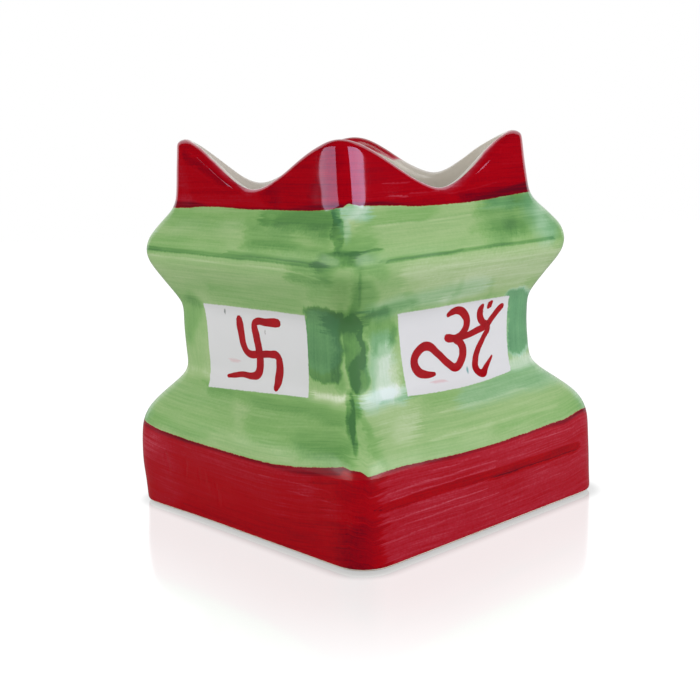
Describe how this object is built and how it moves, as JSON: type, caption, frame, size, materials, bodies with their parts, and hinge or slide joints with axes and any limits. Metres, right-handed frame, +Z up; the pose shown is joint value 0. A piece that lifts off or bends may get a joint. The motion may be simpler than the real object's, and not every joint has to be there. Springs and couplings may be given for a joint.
{
  "type": "tulsi vrindavan planter",
  "caption": "Small square glazed ceramic altar pot with a stepped plinth, panelled waist, swelling cornice and a scalloped crown with a horn at each corner.",
  "frame": {"origin": "middle of the foot, on the surface that the planter stands on", "axes": "+Z up. The four faces look along -Y (front), +X (right), +Y (back) and -X (left). The horns stand at the four corners between them. The pot leans by 3.5 mm towards the horn between -X and +Y."},
  "size_m": [0.1187, 0.1187, 0.127],
  "materials": {
    "bare_clay": "fired white clay, unglazed and slightly rough, at the wiped foot",
    "red_glaze": "deep red brushed colour under clear gloss glaze",
    "green_glaze": "leaf green wash in broad brush strokes under clear gloss glaze",
    "liner_glaze": "thin off-white gloss glaze",
    "white_glaze": "clear gloss glaze over white slip, with small specks"
  },
  "bodies": {
    "root": {"clay_body": "bare_clay", "plinth_glaze": "red_glaze", "body_glaze": "green_glaze", "crown_glaze": "red_glaze", "liner_glaze": "liner_glaze", "panel_front": "white_glaze", "panel_right": "white_glaze", "panel_back": "white_glaze", "panel_left": "white_glaze"}
  },
  "joints": []
}
